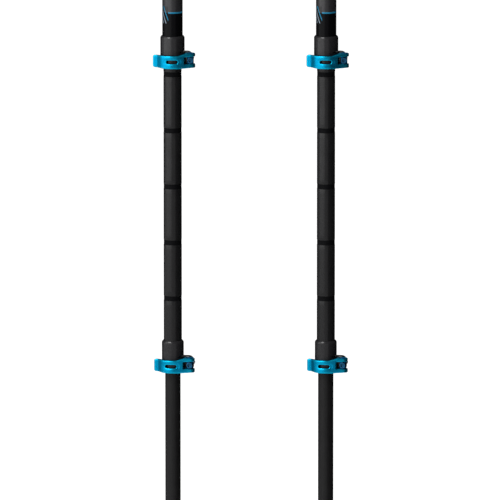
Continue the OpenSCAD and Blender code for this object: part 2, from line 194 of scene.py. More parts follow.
class Field:
    """Signed distances in millimetres on a grid around a CAD node, below 0 inside the solid."""
    BAND = 7
    MARGIN = BAND + 2
    KERNEL_REACH = 2.2

    def __init__(self, node, voxel):
        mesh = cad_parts[node].data
        mesh.calc_loop_triangles()
        points = np.empty(len(mesh.vertices) * 3, np.float32)
        mesh.vertices.foreach_get("co", points)
        points = points.reshape(-1, 3) / MM - np.array([AXIS_X["left"], 0, 0], np.float32)
        triangles = np.empty(len(mesh.loop_triangles) * 3, np.int32)
        mesh.loop_triangles.foreach_get("vertices", triangles)
        self.voxel = voxel
        self.low = np.floor(points.min(0) / voxel).astype(int) - self.MARGIN
        size = np.ceil(points.max(0) / voxel).astype(int) + self.MARGIN - self.low
        grid = vdb.FloatGrid.createLevelSetFromPolygons(
            np.ascontiguousarray(points, np.float32), triangles=triangles.reshape(-1, 3).astype(np.uint32),
            transform=vdb.createLinearTransform(voxelSize=voxel), halfWidth=float(self.BAND))
        self.value = np.empty(tuple(size), np.float32)
        grid.copyToArray(self.value, ijk=tuple(int(k) for k in self.low))

    def coordinates(self):
        """x, y and z of the grid's points, ready to broadcast."""
        axes = [(np.arange(n) + k) * self.voxel for n, k in zip(self.value.shape, self.low)]
        return axes[0][:, None, None], axes[1][None, :, None], axes[2][None, None, :]

    def blurred(self, sigma):
        """The field smoothed over sigma millimetres, which rounds edges and leaves flat faces in place."""
        sigma = sigma / self.voxel
        reach = max(1, int(math.ceil(self.KERNEL_REACH * sigma)))
        weight = np.exp(-0.5 * (np.arange(-reach, reach + 1) / sigma) ** 2)
        weight /= weight.sum()
        result = self.value
        for axis in range(3):
            padded = np.pad(result, [(reach, reach) if k == axis else (0, 0) for k in range(3)], mode="edge")
            result = sum(w * np.take(padded, np.arange(n, n + result.shape[axis]), axis)
                         for n, w in enumerate(weight))
        return result

    def round_edges(self, sigma):
        self.value = self.blurred(sigma)
        return self

    def cut(self, cutter):
        """Takes away the solid whose distances are given."""
        self.value = np.maximum(self.value, -cutter).astype(np.float32)

    def add(self, solid):
        """Adds the solid whose distances are given."""
        self.value = np.minimum(self.value, solid).astype(np.float32)

    def sample(self, field, points):
        """field's values at points given in steps of the grid."""
        base = np.clip(np.floor(points).astype(int), 0, np.array(field.shape) - 2)
        part = points - base
        total = 0
        for corner in range(8):
            offset = np.array([corner & 1, corner >> 1 & 1, corner >> 2 & 1])
            weight = np.prod(np.where(offset, part, 1 - part), 1)
            total = total + weight * field[tuple((base + offset).T)]
        return total

    def mesh(self, name, wear_and_painted_light_reach=0.8):
        """The solid's surface. Its "edge" attribute is above 0 on ridges and below 0 in grooves; the finishes
        use it for worn edges, painted highlights and painted shade.
        """
        grid = vdb.FloatGrid(background=float(self.value.max()))
        grid.copyFromArray(np.ascontiguousarray(self.value, np.float32))
        points, _, quads = grid.convertToPolygons(isovalue=0.0, adaptivity=0.0)
        edge = self.sample(self.blurred(wear_and_painted_light_reach), points) / wear_and_painted_light_reach
        places = (points + self.low) * self.voxel
        mesh = make_mesh(name, places, outward_faces(places.astype(float), quads.astype(np.int32)))
        if len(mesh.vertices) == len(edge):
            add_attribute(mesh, "edge", edge)
        return mesh


def shared(*solids):
    """The distances of the solid that all the given ones share."""
    return functools.reduce(np.maximum, solids)


def smoothstep(value, start, end):
    t = np.clip((value - start) / (end - start), 0, 1)
    return t * t * (3 - 2 * t)


def stretch(value, rise, fall):
    """1 between the two pairs of values, 0 outside them, and smooth within each pair."""
    return smoothstep(value, *rise) * (1 - smoothstep(value, *fall))


def wrap_angle(angle):
    return (angle + math.pi) % (2 * math.pi) - math.pi


# The grid's step and the softening of the edges, for each kind of solid
VOXEL = {"lever": 0.22, "collar": 0.27, "small": 0.12, "grip": 0.5, "pin": 0.16, "wedge": 0.25,
         "basket": 0.35}
SOFTENING = {"lever": 0.42, "collar": 0.38, "small": 0.14, "grip": 0.45, "pin": 0.2, "wedge": 0.35,
             "basket": 0.4}

# ---- Clamps ----


def in_clamp(level, x, y):
    """x and y turned into the clamp's own frame, where its lever's slot faces -y."""
    c, s = math.cos(CLAMP_TURN[level]), math.sin(CLAMP_TURN[level])
    return c * x + s * y, -s * x + c * y


def lever(level):
    """The band lever: softened edges, a shallow recess around its slot and a round-cornered finger tab."""
    slot_x, slot_z = -0.35, 6.4
    recess_half_x, recess_half_z, recess_depth, recess_back_y = 7.2, 2.8, 0.14, -2
    tab_low, tab_high, tab_corner = 0.6, 11.8, 2.4
    field = Field(f"left_{level}_lever", VOXEL["lever"])
    x, y, z = field.coordinates()
    u, v = in_clamp(level, x, y)
    height = z - CLAMP_Z[level]
    band_r = -box_mm(f"left_{level}_lever")[0][1]
    along = np.maximum(np.abs(u - slot_x) - recess_half_x + recess_half_z, 0)
    oval = np.hypot(along, height - slot_z) - recess_half_z
    field.cut(shared(oval, band_r - recess_depth - np.hypot(u, v), v - recess_back_y))
    corner_u = u.min() + field.MARGIN * field.voxel + tab_corner
    for side, edge_z in ((1, tab_low), (-1, tab_high)):
        rise = side * (height - edge_z) - tab_corner
        outside = tab_corner - np.hypot(u - corner_u, rise)
        field.cut(shared(u - corner_u, rise, outside))
    return field.round_edges(SOFTENING["lever"]).mesh(f"{level}_lever")


def collar(level):
    """The clamp's collar, with softened edges and a short shoulder, sloped to catch the light."""
    slope_h, slope_w, ring_h = 1.9, 1.3, 4
    field = Field(f"left_{level}_collar", VOXEL["collar"])
    x, y, z = field.coordinates()
    low, high = box_mm(f"left_{level}_collar")
    outer, below_top = AXIS_X["left"] - low[0], high[2] - z
    radius = np.hypot(x, y)
    slope = slope_h * (radius - outer) + slope_w * (slope_h - below_top)
    slope = slope / math.hypot(slope_h, slope_w)
    field.add(shared(slope, radius - outer, -below_top, below_top - ring_h, outer - slope_w - radius))
    return field.round_edges(SOFTENING["collar"]).mesh(f"{level}_collar")


def small_part(level, piece):
    field = Field(f"left_{level}_{piece}", VOXEL["small"])
    return field.round_edges(SOFTENING["small"]).mesh(f"{level}_{piece}", wear_and_painted_light_reach=0.35)


# ---- Tubes ----
MARK_PITCH, MARK_H, MARK_DEPTH, FIRST_MARK = 50, 4.3, 0.15, 5.5
MARKS = range(-2, 5)
WALL = 0.9
# The blue ring, where the upper tube's paint changes from black below to grey above
RING_Z = CLAMP_Z["upper"] + 49.6


def tube(name, marks=(), paint_z=None):
    """A drawn tube with softened ends. marks are heights of turned rings, and paint_z is a change of paint."""
    end_round, bore_round, mark_round = 0.25, 0.2, 0.1
    low, high = box_mm(f"left_{name}_tube")
    outer, inner = TUBE_R[name], TUBE_R[name] - WALL
    corners = [(outer, low[2], end_round)]
    for mark_z in sorted(marks):
        for end in (-1, 1):
            edge = mark_z + end * MARK_H / 2
            corners += [(outer, edge, mark_round), (outer - MARK_DEPTH, edge, mark_round)][::-end]
    if paint_z:
        corners.append((outer, paint_z, 0))
    corners += [(outer, high[2], end_round), (inner, high[2], bore_round), (inner, low[2], bore_round)]
    return lathe(f"{name}_tube", rounded(corners, step=5))


def paint_bands(mesh, material, bands):
    """Gives the mesh a second material on its faces within bands, which are pairs of heights."""
    mesh.materials.append(material)
    centres = np.empty(len(mesh.polygons) * 3, np.float32)
    mesh.polygons.foreach_get("center", centres)
    z = centres[2::3] / MM
    inside = np.any([(z > low) & (z < high) for low, high in bands], axis=0)
    mesh.polygons.foreach_set("material_index", inside.astype(np.int32))


# ---- Handle ----


def grip():
    """The moulded grip: finger grooves on the inner side, a ribbed palm side and flattened flanks."""
    finger_z, finger_half, finger_depth = (22, 44, 66, 87), 6.5, 1.8
    palm_z, palm_half, palm_swell, flank_depth = 46, 18, 0.9, 1.0
    rib_pitch, rib_depth = 4.5, 0.5
    field = Field("left_grip", VOXEL["grip"])
    x, y, z = field.coordinates()
    height = z - GRIP_LOW
    angle = np.arctan2(y, x)
    skin = smoothstep(np.hypot(x, y), 10.5, 12.5)
    grooves = sum(np.exp(-((height - centre) / finger_half) ** 2) for centre in finger_z)
    fingers = finger_depth * np.clip(np.cos(angle), 0, 1) ** 1.5 * grooves
    flanks = flank_depth * np.sin(angle) ** 2 * stretch(height, (4, 20), (92, 112))
    palm = -palm_swell * np.clip(-np.cos(angle), 0, 1) * np.exp(-((height - palm_z) / palm_half) ** 2)
    rib_area = smoothstep(-np.cos(angle), 0.35, 0.6) * stretch(height, (14, 20), (76, 82))
    ribs = rib_depth * rib_area * (0.5 + 0.5 * np.cos(2 * math.pi * height / rib_pitch)) ** 2
    field.value = (field.value + skin * (fingers + flanks + palm + ribs)).astype(np.float32)
    return field.round_edges(SOFTENING["grip"]).mesh("grip", wear_and_painted_light_reach=1.4)


def grip_cap():
    """The grip's domed cap on its plug, with a turned ring around a dished middle."""
    cap_h, cap_r, seat_r, plug_r, plug_len = 10, 18.4, 17.8, 8, 6
    dome_low, dome_h, start_r = 2, 8, 0.3
    base = POLE_TOP - cap_h
    corners = [(start_r, base - plug_len, 0), (plug_r, base - plug_len, 0.6), (plug_r, base, 0.2),
               (seat_r, base, 0.3), (cap_r, base + 1, 0.5)]
    for a in np.radians(np.arange(0, 61, 10)):
        corners.append((cap_r * math.cos(a), base + dome_low + dome_h * math.sin(a), 1.0))
    ring_groove = [(8.6, 9.0, 0.3), (8.3, 8.5, 0.3), (7.6, 8.5, 0.3), (7.3, 9.3, 0.4)]
    dish = [(4.0, 9.1, 2.0), (start_r, 8.9, 0)]
    corners += [(r, base + rise, fillet) for r, rise, fillet in ring_groove + dish]
    return lathe("grip_cap", rounded(corners, step=0.6), closed=False)


def foam_sleeve():
    """The foam sleeve, with soft turned grooves."""
    grooves, groove_half, floor_half, groove_depth = 7, 2.0, 0.7, 1.0
    low, high = box_mm("left_grip_sleeve")
    bore, outer = TUBE_R["upper"] + GLUE_GAP, (high[0] - low[0]) / 2
    pitch = (high[2] - low[2]) / (grooves + 1)
    corners = [(bore, low[2], 0.2), (outer - 1.6, low[2], 0.8), (outer, low[2] + 3, 1.6)]
    for k in range(1, grooves + 1):
        z, floor_r = low[2] + k * pitch, outer - groove_depth
        corners += [(outer, z - groove_half, 1.0), (floor_r, z - floor_half, 0.6),
                    (floor_r, z + floor_half, 0.6), (outer, z + groove_half, 1.0)]
    corners += [(outer, high[2] - 2, 1.2), (outer - 1.0, high[2], 0.6), (bore, high[2], 0.2)]
    return lathe("foam_sleeve", rounded(corners, step=1.5), around=128)


# ---- Wrist loop ----
STRAP_HALF_W, STRAP_HALF_T, STRAP_BEND_R = 10.0, 0.8, 2.9
PAD_HALF_W, PAD_T = 13.0, 3.0
# The hanging strap's middle line: x, and z from the bottom of the bend around the pin. It starts and ends in
# the grip's pocket, and each stretch between two points is divided into STEPS.
LOOP_POINTS = [(-12, 5.8), (-18, 5.6), (-24, 4.7), (-34, 0.5), (-46, -16), (-56, -46), (-60, -80),
               (-58, -112), (-49, -134), (-37, -140), (-27, -132), (-22.5, -108), (-21.5, -76),
               (-22.8, -40), (-23.8, -14), (-21.6, -4.5), (-17.5, -0.3), (-12, 0)]
STEPS = 24
# The stretch that carries the wrist pad, counted in points of the loop
LINED = (4.5, 11)


def curve_points(points, steps):
    """A smooth open curve through the points."""
    p = np.array([points[0], *points, points[-1]], float)
    t = (np.arange(steps) / steps)[:, None]
    curve = [0.5 * (2 * b + (c - a) * t + (2 * a - 5 * b + 4 * c - d) * t ** 2
                    + (3 * b - 3 * c + d - a) * t ** 3)
             for a, b, c, d in zip(p, p[1:], p[2:], p[3:])]
    return np.vstack([*curve, p[-1:]])


def frame_along(path):
    """The direction and the sideways direction, to the left, at each point of a flat path."""
    direction = np.gradient(path, axis=0)
    direction /= np.linalg.norm(direction, axis=1)[:, None]
    return direction, np.stack([-direction[:, 1], direction[:, 0]], 1)


def strap_path():
    """The strap's middle line in x and z, along the loop and around the pin, and where the loop starts."""
    run_points, bend_points, bend_from, bend_to = 10, 22, -90, 80
    loop = curve_points(LOOP_POINTS, STEPS) + np.array([0, PIN_Z - STRAP_BEND_R])
    upper_run = np.linspace([0, PIN_Z + STRAP_BEND_R], loop[0], run_points)[:-1]
    lower_run = np.linspace(loop[-1], [0, PIN_Z - STRAP_BEND_R], run_points)[1:-1]
    a = np.radians(np.linspace(bend_from, bend_to, bend_points))
    around_pin = np.stack([STRAP_BEND_R * np.cos(a), PIN_Z + STRAP_BEND_R * np.sin(a)], 1)
    return np.vstack([upper_run, loop, lower_run, around_pin]), len(upper_run)


def path_length(path):
    return np.linalg.norm(np.diff(path, axis=0), axis=1).sum()


def travelled_along(path):
    """How far along the path each of its points is."""
    return np.concatenate([[0], np.cumsum(np.linalg.norm(np.diff(path, axis=0), axis=1))])


def swept(name, path, sections):
    """A closed ribbon: each section is a ring of (sideways, y) offsets at a point of the path."""
    _, side = frame_along(path)
    rings = np.stack([path[:, None, 0] + side[:, None, 0] * sections[..., 0], sections[..., 1],
                      path[:, None, 1] + side[:, None, 1] * sections[..., 0]], -1)
    return capped_mesh(name, [rings])


def strap():
    """The webbing, with slightly thicker selvedges and rounded edges, and its length."""
    fillet, thinning = 0.7, 0.14
    path, _ = strap_path()
    w, t = STRAP_HALF_W, STRAP_HALF_T
    corners = [(x, y, fillet) for x, y in ((-t, -w), (t, -w), (t, w), (-t, w))]
    ring = rounded(corners, step=0.9, arc_steps=4)
    thickness = 1 - thinning * smoothstep(w - np.abs(ring[:, 1]), 1.0, 2.2)
    ring = np.stack([ring[:, 0] * thickness, ring[:, 1]], 1)
    return swept("strap", path, np.repeat(ring[None], len(path), 0)), path_length(path)


def lined_stretch():
    """The part of the strap's path that carries the wrist pad."""
    path, start = strap_path()
    first, last = (int(start + k * STEPS) for k in LINED)
    return path[first:last + 1]


def wrist_pad():
    """The padded lining: a flat back on the webbing, a crowned, quilted front and thin bound edges."""
    sewing_gap, end_len, end_w, edge_t, seam_pitch, seam_half = 0.12, 9, 0.78, 0.9, 13.0, 1.1
    path = lined_stretch()
    _, side = frame_along(path)
    path = path + side * (STRAP_HALF_T + sewing_gap)
    travelled = travelled_along(path)
    end = np.minimum(travelled, travelled[-1] - travelled)
    rounding = np.sqrt(1 - (1 - np.clip(end / end_len, 0, 1)) ** 2)
    width = PAD_HALF_W * (end_w + (1 - end_w) * rounding)
    across = np.linspace(-1, 1, 41)
    seams = np.exp(-((np.mod(travelled, seam_pitch) - seam_pitch / 2) / seam_half) ** 2)
    crown = (1 - np.abs(across) ** 5)[None] * (0.45 + 0.55 * smoothstep(end, 0, 7))[:, None]
    flange = smoothstep(1 - np.abs(across), 0.09, 0.22)[None]
    height = edge_t + (PAD_T - 1.0) * crown * flange * (1 - 0.3 * seams[:, None])
    front = np.stack([height, width[:, None] * across[None]], -1)
    back = np.stack([np.zeros_like(height), width[:, None] * across[None]], -1)[:, ::-1]
    return swept("wrist_pad", path, np.concatenate([front, back], 1))


def stitches():
    """Two rows of thread along the webbing where the pad is sewn on, as one mesh."""
    pitch, half, thread_r, row_y, end_gap, arch = 3.2, 1.15, 0.26, 8.2, 4, 0.16
    outer_face = -STRAP_HALF_T * 0.9
    path = lined_stretch()
    direction, side = frame_along(path)
    travelled = travelled_along(path)
    angle = np.linspace(0, 2 * math.pi, 8, endpoint=False)
    grids = []
    for s in np.arange(end_gap, travelled[-1] - end_gap, pitch):
        centre, along, out = (np.array([np.interp(s, travelled, values[:, k]) for k in (0, 1)])
                              for values in (path, direction, side))
        for y in (-row_y, row_y):
            rings = []
            for t in np.linspace(-1, 1, 7):
                lift = outer_face - arch * (1 - t * t)
                spot = centre + along * half * t + out * lift
                size = thread_r * max(0.25, math.sqrt(1 - 0.94 * t * t))
                offset = size * np.cos(angle)
                rings.append(np.stack([spot[0] + out[0] * offset, y + size * np.sin(angle),
                                       spot[1] + out[1] * offset], -1))
            grids.append(np.array(rings))
    return capped_mesh("stitches", grids)


def wedge():
    """The strap's locking wedge, with pull grooves across its outer end."""
    grooves, first_x, pitch, groove_r, groove_rise = 3, 1.6, 1.5, 0.7, 0.25
    field = Field("left_strap_wedge", VOXEL["wedge"])
    x, _, z = field.coordinates()
    low, high = box_mm("left_strap_wedge")
    for k in range(grooves):
        groove_x = low[0] - AXIS_X["left"] + first_x + pitch * k
        field.cut(np.hypot(x - groove_x, z - high[2] - groove_rise) - groove_r)
    return field.round_edges(SOFTENING["wedge"]).mesh("wedge")


# ---- Tip and basket ----


def ferrule():
    """The tip's plastic ferrule: a ringed socket, the basket's seat with its thread, and a tapered nose."""
    bore, sleeve, point_bore = TUBE_R["lower"] + GLUE_GAP, TUBE_R["lower"] + 1.1, 2.23
    low, socket_low, high = 8, 60, 95
    nose_r, neck_r, seat_r = 5.5, 6.3, 6.3 + 2.1
    thread_z, thread_pitch, thread_r = 38, 3.2, 6.3 + 0.28
    ring_z, ring_pitch, ring_r = 70, 5, sleeve - 0.5
    corners = [(point_bore, low, 0), (3.4, low, 0.5), (nose_r, 13, 1.5), (nose_r, 35, 0.4),
               (neck_r, 36.4, 0.3)]
    for k in range(4):
        z = thread_z + thread_pitch * k
        corners += [(neck_r, z, 0.1), (thread_r, z + 0.5, 0.2), (thread_r, z + 1.2, 0.2),
                    (neck_r, z + 1.7, 0.1)]
    corners += [(neck_r, 51, 0.2), (seat_r, 51.2, 0.4), (seat_r, 54, 0.5), (sleeve, 56, 0.6)]
    for k in range(4):
        z = ring_z + ring_pitch * k
        corners += [(sleeve, z - 1.2, 0.4), (ring_r, z - 0.6, 0.3), (ring_r, z + 0.6, 0.3),
                    (sleeve, z + 1.2, 0.4)]
    corners += [(sleeve, high - 2, 0.4), (sleeve - 0.6, high, 0.4), (bore, high, 0.2),
                (bore, socket_low, 0.2), (point_bore, socket_low, 0)]
    return lathe("ferrule", rounded(corners, step=1.5))


def carbide_point():
    """The carbide point, with its dished, sharp-edged end."""
    start_r, point_r, high = 0.2, 2.2, 18
    corners = [(start_r, 1.1, 0), (1.0, 0.8, 0.2), (1.65, 0.02, 0.05), (1.95, 0.02, 0.05),
               (point_r, 0.6, 0.15), (point_r, high, 0.2), (start_r, high, 0)]
    return lathe("carbide_point", rounded(corners, step=0.5), around=48, closed=False)


def basket():
    """The trekking basket, with a rib on each spoke and a bead around its rim."""
    spokes, hub_r, hub_z, dish_rise, dish_run = 6, 8.9, 43.8, 3.7, 15.5
    rib_half_w, rib_half_h, rib_start_r, rib_end_gap = 0.75, 1.2, 8.5, 2
    bead_r, bead_z = 1.1, 46.6
    field = Field("left_basket", VOXEL["basket"])
    x, y, z = field.coordinates()
    rim_r = box_mm("left_basket")[1][1]
    radius, angle = np.hypot(x, y), np.arctan2(y, x)
    dish_z = hub_z + (radius - hub_r) * dish_rise / dish_run
    across = radius * np.sin(wrap_angle(angle * spokes) / spokes)
    field.add(shared(np.abs(across) - rib_half_w, np.abs(z - dish_z) - rib_half_h,
                     radius - rim_r + rib_end_gap, rib_start_r - radius))
    field.add(np.hypot(radius - rim_r + bead_r, z - bead_z) - bead_r)
    return field.round_edges(SOFTENING["basket"]).mesh("basket", wear_and_painted_light_reach=1.0)


# ---- Materials ----


class Finish:
    """A procedural material around one Principled shader, with textures in the piece's own millimetres."""

    def __init__(self, name, colour, **inputs):
        self.material = bpy.data.materials.new(name)
        self.material.use_nodes = True
        self.tree = self.material.node_tree
        self.shader = self.tree.nodes["Principled BSDF"]
        self.set("Base Color", (*colour, 1))
        for socket, value in inputs.items():
            self.set(socket.replace("_", " "), value)
        scaled = self.node("ShaderNodeVectorMath", operation="SCALE")
        scaled.inputs["Scale"].default_value = 1 / MM
        self.join(self.node("ShaderNodeTexCoord").outputs["Object"], scaled.inputs[0])
        self.place = scaled.outputs[0]
        parts = self.node("ShaderNodeSeparateXYZ")
        self.join(self.place, parts.inputs[0])
        self.x, self.y, self.z = parts.outputs

    def node(self, kind, **settings):
        made = self.tree.nodes.new(kind)
        for key, value in settings.items():
            setattr(made, key, value)
        return made

    def join(self, value, socket):
        if isinstance(value, bpy.types.NodeSocket):
            self.tree.links.new(value, socket)
        else:
            socket.default_value = value

    def set(self, socket, value):
        self.join(value, self.shader.inputs[socket])

    def math(self, operation, *values):
        made = self.node("ShaderNodeMath", operation=operation)
        for value, socket in zip(values, made.inputs):
            self.join(value, socket)
        return made.outputs[0]

    def ramp(self, value, start, end, low=0.0, high=1.0):
        """value's stretch from start to end, spread over low to high and held outside it."""
        made = self.node("ShaderNodeMapRange", interpolation_type="SMOOTHSTEP")
        for socket, number in zip(made.inputs, (value, start, end, low, high)):
            self.join(number, socket)
        return made.outputs[0]

    def mix(self, factor, first, second):
        made = self.node("ShaderNodeMix", data_type="RGBA")
        for key, value in (("Factor_Float", factor), ("A_Color", first), ("B_Color", second)):
            socket = next(s for s in made.inputs if s.identifier == key)
            self.join((*value, 1) if isinstance(value, tuple) and len(value) == 3 else value, socket)
        return next(s for s in made.outputs if s.identifier == "Result_Color")

    def stretched(self, x, y, z):
        made = self.node("ShaderNodeVectorMath", operation="MULTIPLY")
        self.join(self.place, made.inputs[0])
        made.inputs[1].default_value = (x, y, z)
        return made.outputs[0]

    def noise(self, size, detail=2.0, place=None):
        """Smooth noise from 0 to 1 with spots of about size millimetres."""
        made = self.node("ShaderNodeTexNoise")
        made.inputs["Scale"].default_value = 1 / size
        made.inputs["Detail"].default_value = detail
        self.join(place or self.place, made.inputs["Vector"])
        return made.outputs[0]

    def cells(self, size):
        """The distance to the nearest of many points about size millimetres apart."""
        made = self.node("ShaderNodeTexVoronoi")
        made.inputs["Scale"].default_value = 1 / size
        self.join(self.place, made.inputs["Vector"])
        return made.outputs["Distance"]

    def edge(self):
        return self.node("ShaderNodeAttribute", attribute_name="edge").outputs["Fac"]

    def angle(self):
        """The angle about the pole's axis, 0 at the front and growing to the right."""
        return self.math("ARCTAN2", self.x, self.math("MULTIPLY", self.y, -1.0))

    def wave(self, phase):
        """A wave from 0 to 1."""
        return self.math("MULTIPLY_ADD", self.math("SINE", phase), 0.5, 0.5)

    def bump(self, height, distance, strength=1.0, after=None):
        """distance is in millimetres. after is a bump that this one adds to."""
        made = self.node("ShaderNodeBump")
        made.inputs["Strength"].default_value = strength
        made.inputs["Distance"].default_value = distance * MM
        self.join(height, made.inputs["Height"])
        if after is not None:
            self.join(after, made.inputs["Normal"])
        self.set("Normal", made.outputs[0])
        return made.outputs[0]

    def vary(self, colour, factor, low=0.75, high=1.25):
        """colour made darker or lighter by factor, from 0 to 1."""
        return self.mix(factor, tuple(low * c for c in colour), tuple(high * c for c in colour))


def streaks(finish, size):
    """Fine streaks along the pole."""
    return finish.noise(size, 3.0, finish.stretched(1, 1, 0.03))


def diamonds(finish, strands, pitch):
    """A crossed weave wound about the pole: strands around it, one every pitch millimetres along it."""
    turn = finish.math("MULTIPLY", finish.angle(), float(strands))
    rise = finish.math("MULTIPLY", finish.z, 2 * math.pi / pitch)
    one = finish.math("SINE", finish.math("ADD", turn, rise))
    other = finish.math("SINE", finish.math("SUBTRACT", turn, rise))
    return finish.math("MULTIPLY_ADD", finish.math("MULTIPLY", one, other), 0.5, 0.5)


def upper_tube_finish(name, colour, specular, roughness):
    """Lacquered carbon with a blue ring, and three slanted bars on a black panel beside the ring."""
    black, ring_blue, pale = (0.0012, 0.0012, 0.0015), (0.006, 0.085, 0.15), (0.10, 0.125, 0.15)
    ring_half, panel_half_w, panel_half_h = 0.65, 5.6, 7.5
    bars_z, bars_at, bar_pitch, bar_w, slant = RING_Z - 2.0, math.radians(-60), 3.6, 0.9, 0.45
    f = Finish(name, colour, Specular_IOR_Level=specular)
    uneven = f.math("MULTIPLY_ADD", streaks(f, 0.6), 0.5, f.math("MULTIPLY", f.noise(0.5), 0.5))
    base = f.vary(colour, uneven)
    from_bars = f.math("MULTIPLY", f.math("SUBTRACT", f.angle(), bars_at), TUBE_R["upper"])
    above_bars = f.math("SUBTRACT", f.z, bars_z)
    in_panel = f.math("MULTIPLY", f.math("LESS_THAN", f.math("ABSOLUTE", from_bars), panel_half_w),
                      f.math("LESS_THAN", f.math("ABSOLUTE", above_bars), panel_half_h))
    from_ring = f.math("ABSOLUTE", f.math("SUBTRACT", f.z, RING_Z))
    on_ring = f.math("LESS_THAN", from_ring, ring_half)
    base = f.mix(on_ring, base, f.vary(ring_blue, f.noise(3.0), 0.7, 1.3))
    base = f.mix(in_panel, base, black)
    slanted = f.math("ADD", from_bars, f.math("MULTIPLY", above_bars, slant))
    in_bars = f.math("LESS_THAN", f.math("ABSOLUTE", slanted), 1.5 * bar_pitch)
    phase = f.math("WRAP", slanted, bar_pitch / 2, -bar_pitch / 2)
    on_bar = f.math("MULTIPLY", f.math("LESS_THAN", f.math("ABSOLUTE", phase), bar_w / 2),
                    f.math("MULTIPLY", in_panel, in_bars))
    bar_colour = f.mix(f.math("GREATER_THAN", slanted, bar_pitch / 2), pale, ring_blue)
    f.set("Base Color", f.mix(on_bar, base, bar_colour))
    f.set("Roughness", f.ramp(f.noise(1.2), 0.3, 0.7, roughness - 0.03, roughness + 0.04))
    f.bump(diamonds(f, 34, 1.66), 0.01, 0.35)
    return f.material


def mid_tube_finish():
    """Satin carbon with a faint wound weave."""
    carbon = (0.0050, 0.0049, 0.0052)
    f = Finish("mid_tube_carbon", carbon, Specular_IOR_Level=0.12)
    weave = diamonds(f, 31, 3.24)
    cloudy = f.noise(4.0, 3.0, f.stretched(1, 1, 0.35))
    shade = f.math("ADD", f.math("MULTIPLY", weave, 0.35), f.math("MULTIPLY", cloudy, 0.65))
    f.set("Base Color", f.vary(carbon, shade, 0.4, 1.6))
    f.set("Roughness", f.ramp(shade, 0.3, 0.7, 0.27, 0.20))
    f.bump(weave, 0.02, 0.4, after=f.bump(streaks(f, 0.3), 0.01, 0.4))
    return f.material


def mark_finish():
    """The dull black paint in the length marks."""
    paint = (0.0016, 0.0016, 0.0019)
    f = Finish("mark_paint", paint, Specular_IOR_Level=0.02)
    f.set("Base Color", f.vary(paint, f.noise(1.5, 3), 0.6, 1.4))
    f.set("Roughness", f.ramp(f.noise(0.8), 0.3, 0.7, 0.5, 0.65))
    f.bump(f.noise(0.3, 3), 0.02, 0.5)
    return f.material


def lower_tube_finish():
    """Matt dark carbon with fine streaks along it."""
    carbon = (0.0048, 0.0047, 0.0049)
    f = Finish("lower_tube_carbon", carbon, Specular_IOR_Level=0.075)
    streak = streaks(f, 0.5)
    uneven = f.math("MULTIPLY_ADD", streak, 0.6, f.math("MULTIPLY", f.noise(7), 0.4))
    f.set("Base Color", f.vary(carbon, uneven, 0.5, 1.5))
    f.set("Roughness", f.ramp(streak, 0.3, 0.7, 0.30, 0.40))
    f.bump(streak, 0.015, 0.5)
    return f.material


def moulded_finish(name, colour, roughness, grain=0.25, specular=0.4):
    """Moulded plastic: a spark-eroded grain, slightly paler and smoother where edges are worn."""
    worn = 0.12
    f = Finish(name, colour, Specular_IOR_Level=specular)
    ridge = f.ramp(f.edge(), 0.05, 0.32)
    cloudy = f.vary(colour, f.noise(5, 3), 0.8, 1.2)
    paler = tuple(min(1, 3 * c + 0.02) for c in colour)
    f.set("Base Color", f.mix(f.math("MULTIPLY", ridge, worn), cloudy, paler))
    f.set("Roughness", f.math("SUBTRACT", f.ramp(f.noise(2), 0.3, 0.7, roughness - 0.04, roughness + 0.05),
                              f.math("MULTIPLY", ridge, 0.08)))
    f.bump(f.noise(grain, 3), 0.035, 0.5)
    return f.material


def anodised_finish():
    """Bead-blasted, blue anodised aluminium, with a painted highlight on its ridges and painted shade in its
    grooves.
    """
    # The pale colour is a painted highlight and the last one a painted shade.
    blue, pale, painted_shade_blue = (0.0005, 0.120, 0.222), (0.004, 0.27, 0.40), (0.0003, 0.05, 0.12)
    f = Finish("blue_anodised", blue, Metallic=0.9, Specular_IOR_Level=0.05,
               Specular_Tint=(0.2, 0.75, 1.0, 1))
    ridge = f.ramp(f.edge(), 0.04, 0.30)
    painted_groove_shade = f.ramp(f.edge(), -0.04, -0.25)
    colour = f.mix(f.noise(3, 2), tuple(0.9 * c for c in blue), tuple(1.1 * c for c in blue))
    # Painted highlight: the ridges are mixed towards a paler blue.
    colour = f.mix(f.math("MULTIPLY", ridge, 0.55), colour, pale)
    # Painted shade: the grooves are mixed towards a deeper blue.
    f.set("Base Color", f.mix(f.math("MULTIPLY", painted_groove_shade, 0.7), colour, painted_shade_blue))
    f.set("Roughness", f.ramp(f.noise(0.8, 3), 0.3, 0.7, 0.31, 0.39))
    f.bump(f.noise(0.12, 2), 0.008, 0.5)
    return f.material


def metal_finish(name, colour, roughness, brush=(1, 1, 0.05), tint=(1, 1, 1)):
    """Turned or drawn metal, brushed along one direction, with painted shade darkening its corners."""
    f = Finish(name, colour, Metallic=1.0, Specular_Tint=(*tint, 1))
    lines = f.noise(0.12, 3, f.stretched(*brush))
    painted_groove_shade = f.ramp(f.edge(), -0.03, -0.3)
    shade = f.vary(colour, lines, 0.8, 1.2)
    # Painted shade: the corners and grooves are darkened in the colour itself.
    f.set("Base Color", f.mix(f.math("MULTIPLY", painted_groove_shade, 0.6), shade, tuple(0.3 * c for c in colour)))
    f.set("Roughness", f.ramp(lines, 0.3, 0.7, roughness - 0.05, roughness + 0.07))
    f.bump(lines, 0.006, 0.4)
    return f.material


